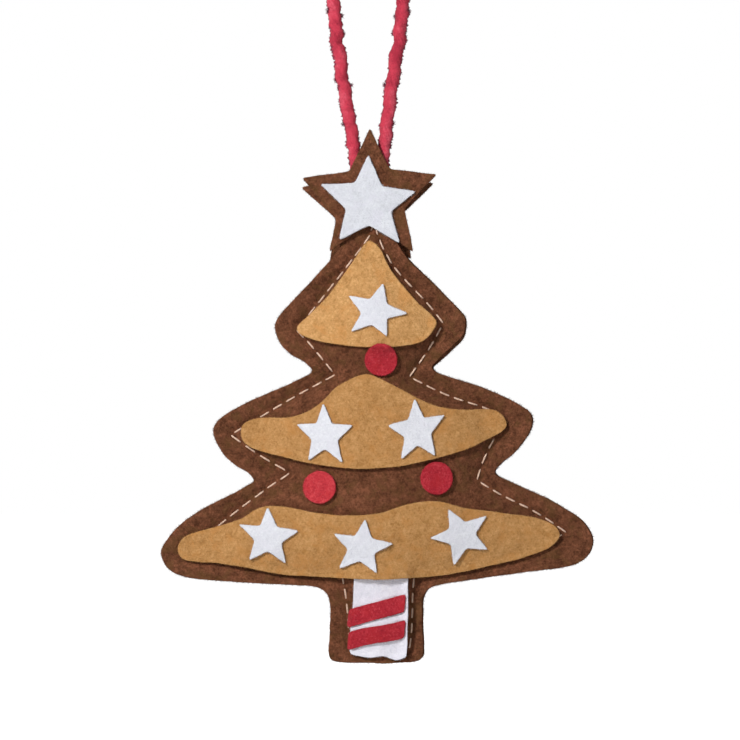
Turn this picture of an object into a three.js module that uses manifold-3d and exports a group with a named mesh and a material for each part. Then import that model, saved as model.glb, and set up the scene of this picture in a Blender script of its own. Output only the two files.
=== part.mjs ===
// A stuffed felt tree ornament that hangs from a loop of wool yarn.
//
// Two brown felt panels are sewn together along a seam inside their edge and filled with fibre.
// Tan tiers, white stars, red dots and a striped trunk patch are glued on the front panel.
// Two brown stars, one in front and one behind, close on the tree's peak and on the yarn's ends.
//
// Sizes are in millimetres. +X is to the right, -Y to the front and +Z up.
// The origin is where the loop rests on a peg, and Y = 0 is the plane of the seam.

import * as THREE from 'three';
import { mergeVertices } from 'three/addons/utils/BufferGeometryUtils.js';
import Module from 'manifold-3d';

const wasm = await Module();
wasm.setup();

// The tree
const treeWidth = 97.5;
const treeHeight = 102;
const frontCrown = 5;
const backCrown = 4.5;
const fillInset = 1.6;
const fillEdge = 0.05;
const fillTopShare = 0.9;
const backPanelShift = 0.4;

// The felt
const brownFelt = 1.5;
const trimFelt = 1.2;
const smallStarFelt = 1;
const layGap = 0.3;

// The star at the peak
const brownStarWidth = 29.5;
const brownStarHeight = 27.1;
const backStarDrop = 1.8;
const whiteStarWidth = 20.9;
const whiteStarHeight = 19.3;
const whiteStarDrop = 2.1;
const peakBelowStarTip = 18.5;

// The glued trims
const topTierWidth = 32.1;
const topTierHeight = 23.5;
const middleTierWidth = 59.9;
const middleTierHeight = 21.3;
const bottomTierWidth = 86.4;
const bottomTierHeight = 17.6;
const smallStarRadius = 6.65;
const dotDiameter = 7.4;
const patchWidth = 13;
const patchHeight = 20;
const stripeWidth = 12.6;
const stripeRise = 3.3;
const stripeDepth = 3.9;

// The yarn. Its route is the centre line of the free loop, from the left end to the right one.
const yarnWidth = 2.9;
const starTipAboveExit = 2.9;
const loopRoute = [
  [-3.57, -77.2], [-4.3, -72], [-5.15, -68.5], [-5.4, -65], [-6.3, -62], [-6.3, -58.5], [-7.3, -54.5],
  [-7.3, -51.5], [-7.85, -47.5], [-8.3, -42.5], [-8.75, -37.2], [-10.05, -27.2],
  [-11.35, -17.2], [-11.95, -11.5], [-11.4, -6.4], [-9.3, -2.2], [-5.3, 0.55], [0, 1.35],
  [5.3, 0.55], [9.3, -2.2], [11.4, -6.4], [11.95, -11.5], [11.35, -17.2],
  [10.05, -27.2], [8.6, -37.2], [7.75, -42.5], [7.45, -48], [6.95, -51.7], [6.9, -54.5],
  [5.9, -58.5], [5.65, -62], [4.8, -65.2], [4.7, -68.5], [4, -72], [3.57, -77.2],
];

// Mesh sizes and the reach of the solids that cut the outlines
const sheetCell = 4;
const starCell = sheetCell / 2;
const dotCell = sheetCell / 4;
const cutOverrun = 40;
const weldDistance = 0.0001;
const yarnSides = 8;
const loopSteps = 64;
const discSides = 24;

// Outlines as shares of the width, from the middle, and of the height, from the tree's foot
const treeShares = [
  [0.002, 1], [-0.091, 0.891], [-0.196, 0.783], [-0.219, 0.748], [-0.197, 0.698], [-0.136, 0.648],
  [-0.148, 0.636], [-0.273, 0.582], [-0.337, 0.548], [-0.361, 0.518], [-0.349, 0.482], [-0.326, 0.453],
  [-0.268, 0.401], [-0.282, 0.392], [-0.36, 0.355], [-0.435, 0.31], [-0.485, 0.252], [-0.47, 0.213],
  [-0.435, 0.194], [-0.36, 0.185], [-0.249, 0.177], [-0.138, 0.172], [-0.112, 0.167], [-0.095, 0.152],
  [-0.092, 0.139], [-0.09, 0.112], [-0.092, 0.053], [-0.092, 0.011], [-0.073, 0.001], [0.008, 0.001],
  [0.07, 0.002], [0.117, 0.008], [0.124, 0.018], [0.123, 0.072], [0.122, 0.112], [0.124, 0.146],
  [0.137, 0.166], [0.163, 0.174], [0.23, 0.185], [0.332, 0.199], [0.417, 0.209], [0.468, 0.22],
  [0.5, 0.238], [0.515, 0.272], [0.499, 0.309], [0.461, 0.337], [0.4, 0.37], [0.305, 0.411],
  [0.291, 0.425], [0.331, 0.463], [0.367, 0.506], [0.377, 0.538], [0.367, 0.559], [0.257, 0.612],
  [0.163, 0.641], [0.143, 0.656], [0.214, 0.722], [0.223, 0.758], [0.215, 0.775], [0.091, 0.894],
];
const seamShares = [
  [0.012, 0.98], [0.003, 0.949], [-0.049, 0.88], [-0.137, 0.774], [-0.167, 0.738], [-0.141, 0.712],
  [-0.078, 0.639], [-0.185, 0.583], [-0.32, 0.51], [-0.257, 0.464], [-0.186, 0.421], [-0.257, 0.373],
  [-0.34, 0.311], [-0.41, 0.25], [-0.341, 0.228], [-0.276, 0.219], [-0.184, 0.207],
  [-0.062, 0.2], [-0.056, 0.167], [-0.048, 0.104], [-0.045, 0.036], [0.093, 0.033], [0.097, 0.061],
  [0.101, 0.144], [0.104, 0.2], [0.246, 0.223], [0.359, 0.247], [0.434, 0.265],
  [0.455, 0.29], [0.436, 0.304], [0.376, 0.34], [0.311, 0.371], [0.249, 0.406], [0.266, 0.454],
  [0.284, 0.489], [0.313, 0.539], [0.276, 0.563], [0.177, 0.595], [0.093, 0.634], [0.136, 0.693],
  [0.172, 0.753], [0.132, 0.8], [0.056, 0.878], [0.022, 0.945],
];

// Outlines as shares of the piece's own width and height, from its middle
const topTierShares = [
  [0.018, 0.533], [-0.055, 0.415], [-0.168, 0.188], [-0.298, -0.042], [-0.415, -0.2], [-0.495, -0.315],
  [-0.446, -0.393], [-0.202, -0.474], [0.055, -0.5], [0.261, -0.484], [0.397, -0.441], [0.493, -0.274],
  [0.483, -0.226], [0.36, -0.071], [0.164, 0.255], [0.104, 0.423],
];
const middleTierShares = [
  [-0.027, 0.51], [-0.089, 0.461], [-0.145, 0.372], [-0.191, 0.237], [-0.253, 0.112], [-0.338, 0.049],
  [-0.441, 0.044], [-0.493, -0.015], [-0.504, -0.096], [-0.497, -0.196], [-0.46, -0.278],
  [-0.361, -0.354], [-0.236, -0.44], [-0.069, -0.493], [0.058, -0.479], [0.182, -0.418], [0.351, -0.28],
  [0.44, -0.158], [0.497, -0.047], [0.489, 0.051], [0.446, 0.135], [0.353, 0.133], [0.252, 0.158],
  [0.183, 0.227], [0.099, 0.351], [0.03, 0.45],
];
const bottomTierShares = [
  [-0.5, -0.099], [-0.483, 0.044], [-0.406, 0.167], [-0.339, 0.27], [-0.29, 0.413], [-0.248, 0.443],
  [-0.206, 0.423], [-0.156, 0.371], [-0.093, 0.332], [-0.031, 0.321], [0.031, 0.352], [0.086, 0.443],
  [0.143, 0.5], [0.193, 0.494], [0.243, 0.424], [0.316, 0.377], [0.373, 0.339], [0.442, 0.283],
  [0.481, 0.207], [0.5, 0.076], [0.485, -0.037], [0.45, -0.141], [0.354, -0.283], [0.22, -0.424],
  [0.143, -0.472], [0.028, -0.5], [-0.052, -0.488], [-0.156, -0.458], [-0.239, -0.427], [-0.323, -0.346],
  [-0.406, -0.284], [-0.485, -0.243],
];
const frontStarShares = [
  [0.007, 0.5], [-0.152, 0.155], [-0.5, 0.094], [-0.247, -0.237], [-0.298, -0.508], [0.003, -0.267],
  [0.334, -0.512], [0.277, -0.169], [0.508, 0.124], [0.158, 0.172],
];
const backStarShares = [
  [0, 0.49], [-0.15, 0.163], [-0.508, 0.084], [-0.251, -0.173], [-0.296, -0.533], [0, -0.275],
  [0.32, -0.505], [0.267, -0.121], [0.487, 0.118], [0.152, 0.183],
];
const whiteStarShares = [
  [-0.007, 0.5], [-0.152, 0.185], [-0.512, 0.17], [-0.249, -0.117], [-0.312, -0.465], [-0.002, -0.305],
  [0.325, -0.505], [0.236, -0.145], [0.495, 0.087], [0.142, 0.15],
];
const patchShares = [
  [-0.44, 0.5], [-0.474, -0.044], [-0.5, -0.395], [-0.491, -0.424], [-0.321, -0.449], [-0.12, -0.464],
  [0.05, -0.445], [0.16, -0.459], [0.314, -0.5], [0.439, -0.464], [0.493, -0.394], [0.5, -0.044], [0.5, 0.5],
];

// The small stars' tips as they were cut by hand, as shares of their radius, from their middle.
// A notch lies midway between two tips, at a share of their mean distance from the middle.
const smallStarTipShares = {
  star_top: [[-0.871, 0.533], [-0.797, -0.64], [0.372, -0.789], [1.045, -0.038], [0.25, 0.934]],
  star_middle_left: [[-0.916, 0.357], [-0.535, -0.819], [0.587, -0.897], [0.906, 0.319], [-0.042, 1.04]],
  star_middle_right: [[-0.941, 0.173], [-0.503, -0.914], [0.598, -0.816], [0.918, 0.513], [-0.071, 1.043]],
  star_bottom_left: [[-0.954, 0.423], [-0.614, -0.742], [0.578, -0.851], [0.996, 0.206], [-0.006, 0.964]],
  star_bottom_centre: [[-0.914, 0.453], [-0.727, -0.669], [0.493, -0.829], [1.034, 0.13], [0.113, 0.915]],
  star_bottom_right: [[-1.027, -0.089], [-0.239, -0.952], [0.859, -0.463], [0.822, 0.645], [-0.415, 0.859]],
};
const smallStarNotchShare = 0.47;

// Where the glued pieces lie, as shares of the tree from its middle and foot
const topTierPlaceShares = [-0.005, 0.815];
const middleTierPlaceShares = [0.013, 0.534];
const bottomTierPlaceShares = [0, 0.272];
const patchPlaceShares = [0.022, 0.104];
const stripePlaceShares = { stripe_upper: [0.017, 0.116], stripe_lower: [0.017, 0.063] };
const smallStarPlaceShares = {
  top: { star_top: [0.015, 0.778] },
  middle: { star_middle_left: [-0.103, 0.505], star_middle_right: [0.111, 0.515] },
  bottom: {
    star_bottom_left: [-0.234, 0.279],
    star_bottom_centre: [-0.017, 0.256],
    star_bottom_right: [0.214, 0.283],
  },
};
const dotPlaceShares = { dot_top: [0.028, 0.672], dot_left: [-0.115, 0.39], dot_right: [0.157, 0.41] };

// The yarn leaves the star where its route starts, and the star and the tree hang from there.
const exitHeight = loopRoute[0][1];
const exitHalfGap = -loopRoute[0][0];
const strandLean = (loopRoute[0][0] - loopRoute[1][0]) / (loopRoute[1][1] - loopRoute[0][1]);
const starTipHeight = exitHeight + starTipAboveExit;
const peakHeight = starTipHeight - peakBelowStarTip;
const footHeight = peakHeight - treeHeight;
const yarnRadius = yarnWidth / 2;
const halfSeamGap = layGap / 2;
const frontSide = -1;
const backSide = 1;

const felt = { roughness: 0.95, metalness: 0 };
const brown = { ...felt, color: 0x6b422a };
const tan = { ...felt, color: 0xc09352 };
const white = { ...felt, color: 0xe4e6ec };
const red = { ...felt, color: 0xb9303a };
const yarnRed = { ...felt, color: 0xd63e55 };
const fibre = { ...felt, color: 0xf1efe9 };

const ornament = new THREE.Group();

function addPiece(name, solid, look) {
  const { vertProperties, triVerts } = solid.getMesh();
  const geometry = new THREE.BufferGeometry();
  geometry.setAttribute('position', new THREE.BufferAttribute(new Float32Array(vertProperties), 3));
  geometry.setIndex(new THREE.BufferAttribute(new Uint32Array(triVerts), 1));
  geometry.computeVertexNormals();
  const mesh = new THREE.Mesh(geometry, new THREE.MeshStandardMaterial(look));
  mesh.name = name;
  ornament.add(mesh);
}

function solidOf(geometry) {
  const bare = geometry.clone();
  bare.deleteAttribute('normal');
  bare.deleteAttribute('uv');
  const welded = mergeVertices(bare, weldDistance);
  return new wasm.Manifold(new wasm.Mesh({
    numProp: 3,
    vertProperties: new Float32Array(welded.attributes.position.array),
    triVerts: new Uint32Array(welded.index.array),
  }));
}

// Outlines are lists of [x, z] points, anticlockwise as seen from the front.
const onTree = ([across, up]) => [across * treeWidth, footHeight + up * treeHeight];

function spread(shares, width, height, [x, z]) {
  return shares.map(([across, up]) => [x + across * width, z + up * height]);
}

// The scissors' curve through an outline's points, with one more point between each two
function rounded(outline) {
  const curve = new THREE.CatmullRomCurve3(outline.map(([x, z]) => new THREE.Vector3(x, 0, z)), true);
  return curve.getPoints(outline.length * 2).slice(0, -1).map(({ x, z }) => [x, z]);
}

function starOutline([x, z], radius, tipShares) {
  return tipShares.flatMap(([across, up], index) => {
    const [nextAcross, nextUp] = tipShares[(index + 1) % tipShares.length];
    const meanReach = (Math.hypot(across, up) + Math.hypot(nextAcross, nextUp)) / 2;
    const notch = smallStarNotchShare * meanReach / Math.hypot(across + nextAcross, up + nextUp);
    return [
      [x + radius * across, z + radius * up],
      [x + radius * notch * (across + nextAcross), z + radius * notch * (up + nextUp)],
    ];
  });
}

function discOutline([x, z], diameter) {
  const points = [];
  for (let corner = 0; corner < discSides; corner += 1) {
    const angle = 2 * Math.PI * corner / discSides;
    points.push([x + diameter / 2 * Math.cos(angle), z + diameter / 2 * Math.sin(angle)]);
  }
  return points;
}

function isInside(outline, x, z) {
  let inside = false;
  outline.forEach(([ax, az], index) => {
    const [bx, bz] = outline[(index + 1) % outline.length];
    if ((az > z) !== (bz > z) && x < ax + (bx - ax) * (z - az) / (bz - az)) inside = !inside;
  });
  return inside;
}

// How far a point lies outside an outline, zero within it
function distanceOutside(outline, x, z) {
  if (isInside(outline, x, z)) return 0;
  const gaps = outline.map(([ax, az], index) => {
    const [bx, bz] = outline[(index + 1) % outline.length];
    const squared = (bx - ax) ** 2 + (bz - az) ** 2;
    const along = THREE.MathUtils.clamp(((x - ax) * (bx - ax) + (z - az) * (bz - az)) / squared, 0, 1);
    return Math.hypot(x - ax - along * (bx - ax), z - az - along * (bz - az));
  });
  return Math.min(...gaps);
}

// The outline drawn in on all sides, each corner moved along the lines beside it
function drawnIn(outline, inset) {
  return outline.map(([x, z], index) => {
    const [px, pz] = outline.at(index - 1);
    const [nx, nz] = outline[(index + 1) % outline.length];
    const before = new THREE.Vector2(x - px, z - pz).normalize();
    const after = new THREE.Vector2(nx - x, nz - z).normalize();
    const inward = new THREE.Vector2(-before.y - after.y, before.x + after.x).normalize();
    const reach = inset / inward.dot(new THREE.Vector2(-after.y, after.x));
    return [x + inward.x * reach, z + inward.y * reach];
  });
}

// A height that is read at the corners of square cells and is flat over each half cell.
// Finer cells that divide the coarse ones follow the same facets, so stacked sheets never cross.
function onCells(height, cell) {
  const known = new Map();
  const at = (i, j) => {
    const key = `${i},${j}`;
    if (!known.has(key)) known.set(key, height(i * cell, j * cell));
    return known.get(key);
  };
  return (x, z) => {
    const i = Math.floor(x / cell);
    const j = Math.floor(z / cell);
    const s = x / cell - i;
    const t = z / cell - j;
    if (s > t) return at(i, j) * (1 - s) + at(i + 1, j) * (s - t) + at(i + 1, j + 1) * t;
    return at(i, j) * (1 - t) + at(i, j + 1) * (t - s) + at(i + 1, j + 1) * s;
  };
}

// The crown of a cushion sewn along an outline: a film under pressure, relaxed on a grid, from 0 to 1.
// Its root is steep at the seam and round over the middle, as stuffed felt is.
function crownShare(seam, step) {
  const columns = Math.ceil(treeWidth / 2 / step) + 2;
  const rows = Math.ceil(treeHeight / step) + 2;
  const firstRow = Math.floor(footHeight / step) - 1;
  const film = Array.from({ length: rows }, () => new Float64Array(2 * columns + 1));
  const within = film.map((row, j) => Array.from(row, (_, i) => (
    isInside(seam, (i - columns) * step, (firstRow + j) * step))));
  const sweeps = 300;
  for (let sweep = 0; sweep < sweeps; sweep += 1) {
    for (let j = 1; j < rows - 1; j += 1) {
      for (let i = 1; i < 2 * columns; i += 1) {
        if (!within[j][i]) continue;
        const around = film[j - 1][i] + film[j + 1][i] + film[j][i - 1] + film[j][i + 1];
        film[j][i] = (around + 1) / 4;
      }
    }
  }
  const highest = Math.max(...film.map((row) => Math.max(...row)));
  return (x, z) => {
    const row = film[Math.round(z / step) - firstRow];
    return Math.sqrt((row?.[Math.round(x / step) + columns] ?? 0) / highest);
  };
}

function prism(outline) {
  const shape = new THREE.Shape(outline.map(([x, z]) => new THREE.Vector2(x, z)));
  const geometry = new THREE.ExtrudeGeometry(shape, { depth: 2 * cutOverrun, bevelEnabled: false });
  geometry.rotateX(Math.PI / 2);
  geometry.translate(0, cutOverrun, 0);
  return solidOf(geometry);
}

// The first and last cell lines that hold an outline along one axis, with a cell to spare
function cellRange(outline, axis, cell) {
  const values = outline.map((point) => point[axis]);
  return [Math.floor(Math.min(...values) / cell) - 1, Math.ceil(Math.max(...values) / cell) + 1];
}

// A sheet cut to its outline. Its two faces are distances from the seam's plane, towards one side.
function cutSheet(outline, side, innerFace, outerFace, cell) {
  const [left, right] = cellRange(outline, 0, cell);
  const [bottom, top] = cellRange(outline, 1, cell);
  const places = [];
  for (const face of [innerFace, outerFace]) {
    for (let j = bottom; j <= top; j += 1) {
      for (let i = left; i <= right; i += 1) {
        places.push(i * cell, side * face(i * cell, j * cell), j * cell);
      }
    }
  }

  const columns = right - left;
  const rows = top - bottom;
  const inner = (i, j) => j * (columns + 1) + i;
  const outer = (i, j) => inner(i, j) + (columns + 1) * (rows + 1);
  const corners = [];
  const addQuad = (a, b, c, d) => corners.push(...(side === frontSide ? [a, b, c, a, c, d] : [a, c, b, a, d, c]));
  for (let j = 0; j < rows; j += 1) {
    for (let i = 0; i < columns; i += 1) {
      addQuad(outer(i, j), outer(i + 1, j), outer(i + 1, j + 1), outer(i, j + 1));
      addQuad(inner(i, j), inner(i, j + 1), inner(i + 1, j + 1), inner(i + 1, j));
    }
  }
  for (let i = 0; i < columns; i += 1) {
    addQuad(inner(i, 0), inner(i + 1, 0), outer(i + 1, 0), outer(i, 0));
    addQuad(inner(i + 1, rows), inner(i, rows), outer(i, rows), outer(i + 1, rows));
  }
  for (let j = 0; j < rows; j += 1) {
    addQuad(inner(0, j + 1), inner(0, j), outer(0, j), outer(0, j + 1));
    addQuad(inner(columns, j), inner(columns, j + 1), outer(columns, j + 1), outer(columns, j));
  }

  const geometry = new THREE.BufferGeometry();
  geometry.setAttribute('position', new THREE.Float32BufferAttribute(places, 3));
  geometry.setIndex(corners);
  return solidOf(geometry).intersect(prism(outline));
}

// A felt piece laid on a face. Where it crosses the edge of a piece already there it is held up by it,
// fully to just past the edge, and comes down to the face over one more cell.
function layFelt(name, look, outline, thickness, face, { over = [], cell = sheetCell, side = frontSide } = {}) {
  const reach = cell * Math.SQRT2;
  const inner = onCells((x, z) => {
    const resting = face(x, z);
    const lifts = over.map((piece) => {
      const away = distanceOutside(piece.outline, x, z);
      return (piece.outer(x, z) - resting) * THREE.MathUtils.clamp(1 + (reach - away) / cell, 0, 1);
    });
    return resting + Math.max(0, ...lifts) + layGap;
  }, cell);
  const outer = (x, z) => inner(x, z) + thickness;
  addPiece(name, cutSheet(outline, side, inner, outer, cell), look);
  return { outline, outer };
}

// A straight or curved length of yarn in the seam's plane
function yarnAlong(curve, steps) {
  const section = new THREE.Shape();
  for (let corner = 0; corner < yarnSides; corner += 1) {
    const angle = 2 * Math.PI * corner / yarnSides;
    const point = [yarnRadius * Math.cos(angle), yarnRadius * Math.sin(angle)];
    if (corner === 0) section.moveTo(...point);
    else section.lineTo(...point);
  }
  return solidOf(new THREE.ExtrudeGeometry(section, { steps, extrudePath: curve, bevelEnabled: false }));
}

// The two panels, sewn face to face outside the seam and pushed apart by the fibre within it
const treeOutline = rounded(treeShares.map(onTree));
const backOutline = treeOutline.map(([x, z]) => [x + backPanelShift, z]);
const seam = seamShares.map(onTree);
const rise = crownShare(seam, sheetCell / 2);
const frontRise = onCells((x, z) => frontCrown * rise(x, z), sheetCell);
const backRise = onCells((x, z) => backCrown * rise(x, z), sheetCell);

function layPanel(name, outline, side, panelRise) {
  const inner = (x, z) => panelRise(x, z) + halfSeamGap;
  const outer = (x, z) => inner(x, z) + brownFelt;
  addPiece(name, cutSheet(outline, side, inner, outer, sheetCell), brown);
  return { outline, outer };
}

const frontPanel = layPanel('front_panel', treeOutline, frontSide, frontRise);
const backPanel = layPanel('back_panel', backOutline, backSide, backRise);

const fillFront = (x, z) => Math.max(frontRise(x, z) - halfSeamGap, fillEdge);
const fillBack = (x, z) => -Math.max(backRise(x, z) - halfSeamGap, fillEdge);
// The fibre ends below the peak, where the seam's two sides come too close for it
const fillSeam = seamShares.filter(([, up]) => up < fillTopShare).map(onTree);
addPiece('stuffing', cutSheet(drawnIn(fillSeam, fillInset), frontSide, fillBack, fillFront, sheetCell), fibre);

// The trunk patch, its stripes, and the tiers, of which the lowest covers the patch's top
const patchOutline = spread(patchShares, patchWidth, patchHeight, onTree(patchPlaceShares));
const patch = layFelt('trunk_patch', white, patchOutline, trimFelt, frontPanel.outer);
for (const [name, place] of Object.entries(stripePlaceShares)) {
  const [x, z] = onTree(place);
  const [halfWidth, halfDepth, halfRise] = [stripeWidth / 2, stripeDepth / 2, stripeRise / 2];
  const outline = [
    [x - halfWidth, z - halfRise + halfDepth], [x - halfWidth, z - halfRise - halfDepth],
    [x + halfWidth, z + halfRise - halfDepth], [x + halfWidth, z + halfRise + halfDepth],
  ];
  layFelt(name, red, outline, trimFelt, patch.outer);
}

function layTier(name, shares, width, height, placeShares, over = []) {
  const outline = rounded(spread(shares, width, height, onTree(placeShares)));
  return layFelt(name, tan, outline, trimFelt, frontPanel.outer, { over });
}

const topTier = layTier('tier_top', topTierShares, topTierWidth, topTierHeight, topTierPlaceShares);
const middleTier = layTier('tier_middle', middleTierShares, middleTierWidth, middleTierHeight, middleTierPlaceShares);
const bottomTier = layTier('tier_bottom', bottomTierShares, bottomTierWidth, bottomTierHeight,
  bottomTierPlaceShares, [patch]);
const tiers = { top: topTier, middle: middleTier, bottom: bottomTier };

// The small stars, each on its tier, and the red dots between the tiers
for (const [tierName, places] of Object.entries(smallStarPlaceShares)) {
  for (const [name, place] of Object.entries(places)) {
    const outline = starOutline(onTree(place), smallStarRadius, smallStarTipShares[name]);
    layFelt(name, white, outline, smallStarFelt, tiers[tierName].outer);
  }
}
for (const [name, place] of Object.entries(dotPlaceShares)) {
  layFelt(name, red, discOutline(onTree(place), dotDiameter), trimFelt, frontPanel.outer,
    { over: Object.values(tiers), cell: dotCell });
}

// The stars at the peak stand clear of the yarn as well as of the panels
const besideYarn = (panel) => (x, z) => Math.max(panel.outer(x, z), yarnRadius);
const starMiddle = [0, starTipHeight - brownStarHeight / 2];
const starFrontOutline = spread(frontStarShares, brownStarWidth, brownStarHeight, starMiddle);
const starFront = layFelt('star_front', brown, starFrontOutline, brownFelt, besideYarn(frontPanel),
  { over: [topTier], cell: starCell });
const backStarMiddle = [starMiddle[0], starMiddle[1] - backStarDrop];
const starBackOutline = spread(backStarShares, brownStarWidth, brownStarHeight, backStarMiddle);
layFelt('star_back', brown, starBackOutline, brownFelt, besideYarn(backPanel), { side: backSide });
const whiteStarMiddle = [starMiddle[0], starMiddle[1] - whiteStarDrop];
const whiteStarOutline = spread(whiteStarShares, whiteStarWidth, whiteStarHeight, whiteStarMiddle);
layFelt('star_white', white, whiteStarOutline, trimFelt, starFront.outer, { over: [topTier], cell: starCell });

// The yarn. The free loop ends in a ball at each exit, and its glued ends go on below that,
// leaning in as the strands do, down to the tree's peak.
const inPlane = ([x, z]) => new THREE.Vector3(x, 0, z);
const loopCurve = new THREE.CatmullRomCurve3(loopRoute.map(inPlane));
let loop = yarnAlong(loopCurve, loopSteps);
for (const exit of [loopRoute[0], loopRoute.at(-1)]) {
  const ball = new THREE.SphereGeometry(yarnRadius, yarnSides, yarnSides);
  ball.translate(exit[0], 0, exit[1]);
  loop = loop.add(solidOf(ball));
}
addPiece('hanging_loop', loop, yarnRed);

for (const [name, side] of [['loop_end_left', -1], ['loop_end_right', 1]]) {
  const top = exitHeight - yarnRadius - layGap;
  const bottom = peakHeight + layGap;
  const across = (height) => side * (exitHalfGap + (height - exitHeight) * strandLean);
  const curve = new THREE.LineCurve3(inPlane([across(top), top]), inPlane([across(bottom), bottom]));
  addPiece(name, yarnAlong(curve, 2), yarnRed);
}

export default ornament;
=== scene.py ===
import math
import random

import bmesh
import bpy
from mathutils import Matrix, Vector, geometry, kdtree, noise
from mathutils.bvhtree import BVHTree


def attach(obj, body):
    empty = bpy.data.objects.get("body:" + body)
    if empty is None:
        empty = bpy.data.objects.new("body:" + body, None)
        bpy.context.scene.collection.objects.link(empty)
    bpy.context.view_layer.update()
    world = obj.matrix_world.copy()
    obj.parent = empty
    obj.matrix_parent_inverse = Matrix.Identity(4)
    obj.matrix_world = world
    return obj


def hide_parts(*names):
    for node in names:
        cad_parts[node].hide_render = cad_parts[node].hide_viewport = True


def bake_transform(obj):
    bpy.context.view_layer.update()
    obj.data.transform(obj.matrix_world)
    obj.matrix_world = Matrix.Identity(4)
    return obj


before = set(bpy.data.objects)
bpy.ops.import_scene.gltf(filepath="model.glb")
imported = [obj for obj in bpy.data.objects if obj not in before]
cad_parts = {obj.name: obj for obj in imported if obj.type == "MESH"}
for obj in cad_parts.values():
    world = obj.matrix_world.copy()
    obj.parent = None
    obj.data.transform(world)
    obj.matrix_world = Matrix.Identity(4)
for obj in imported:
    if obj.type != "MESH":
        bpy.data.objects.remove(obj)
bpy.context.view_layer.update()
print("frame loaded with", len(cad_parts), "nodes")

# A felt tree that hangs from a loop of yarn. Lengths are in metres, the front is towards -Y,
# and Y = 0 is the plane in which the two panels are sewn together.
mm = 0.001
front, back = -1, 1
dice = random.Random(24)


# Small tools for meshes

def newPiece(name, points, faces, look):
    mesh = bpy.data.meshes.new(name)
    mesh.from_pydata(points, [], faces)
    mesh.update()
    piece = bpy.data.objects.new(name, mesh)
    bpy.context.collection.objects.link(piece)
    mesh.materials.append(look)
    return piece


def pickOnly(piece):
    bpy.ops.object.select_all(action="DESELECT")
    piece.select_set(True)
    bpy.context.view_layer.objects.active = piece


def editAll(piece):
    pickOnly(piece)
    bpy.ops.object.mode_set(mode="EDIT")
    bpy.ops.mesh.select_all(action="SELECT")


def finishWith(piece, kind, **settings):
    # Adds a modifier and applies it at once
    pickOnly(piece)
    modifier = piece.modifiers.new(kind, kind)
    for name, value in settings.items():
        setattr(modifier, name, value)
    bpy.ops.object.modifier_apply(modifier=modifier.name)


def shadeSoft(piece):
    pickOnly(piece)
    bpy.ops.object.shade_smooth()


def settle(piece, node):
    # A finished piece moves with the ornament and takes its solid's place
    shadeSoft(piece)
    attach(piece, "ornament")
    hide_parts(node)


def eased(share):
    share = min(max(share, 0), 1)
    return share * share * (3 - 2 * share)


def grainAt(point, size, seed=0):
    # Smooth noise from -1 to 1 with lumps of the given size
    return noise.noise(Vector(point) / size + Vector((seed * 17.3, seed * 5.1, seed * 9.7)))


def curveThrough(points, step, closed=False, isSharp=None):
    # Points a step apart on a smooth curve through the given ones, straight into its sharp corners
    count = len(points)
    isSharp = isSharp or [False] * count
    last = count if closed else count - 1
    line = []
    for index in range(last):
        b, c = points[index], points[(index + 1) % count]
        a = points[index - 1] if index or closed else 2 * b - c
        d = points[(index + 2) % count] if index + 2 < count or closed else 2 * c - b
        if isSharp[index]:
            a = 2 * b - c
        if isSharp[(index + 1) % count]:
            d = 2 * c - b
        parts = max(1, round((c - b).length / step))
        for part in range(parts):
            t = part / parts
            line.append(0.5 * (2 * b + (c - a) * t + (2 * a - 5 * b + 4 * c - d) * t * t
                               + (3 * b - a - 3 * c + d) * t ** 3))
    return line if closed else line + [points[-1].copy()]


def tube(name, line, radiusAt, sides, look, closed=False):
    # A tube along a line. radiusAt gives the radius from the distance along it and the angle round it.
    count = len(line)
    across = Vector((0, 1, 0))
    points, coords, along = [], [], 0
    for index, middle in enumerate(line):
        before = line[index - 1] if index or closed else middle
        after = line[(index + 1) % count] if index + 1 < count or closed else middle
        tangent = (after - before).normalized()
        side = (across - tangent * across.dot(tangent)).normalized()
        up = tangent.cross(side)
        if index:
            along += (middle - line[index - 1]).length
        for corner in range(sides):
            angle = 2 * math.pi * corner / sides
            radius = radiusAt(along, angle)
            points.append(middle + (up * math.cos(angle) + side * math.sin(angle)) * radius)
            coords.append((angle, along))
    faces = []
    for ring in range(count if closed else count - 1):
        for corner in range(sides):
            nextCorner = (corner + 1) % sides
            nextRing = (ring + 1) % count
            faces.append((ring * sides + corner, ring * sides + nextCorner,
                          nextRing * sides + nextCorner, nextRing * sides + corner))
    if not closed:
        faces.append(tuple(reversed(range(sides))))
        faces.append(tuple(range((count - 1) * sides, count * sides)))
    return newPiece(name, points, faces, look), coords


# How fibres differ in length, how their ends bend along and off the surface, and their width halfway
fibre = dict(shortest=0.5, longest=1.5, bendAlong=0.8, bendLow=-0.3, bendHigh=0.5, middleWidth=0.4)


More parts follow.
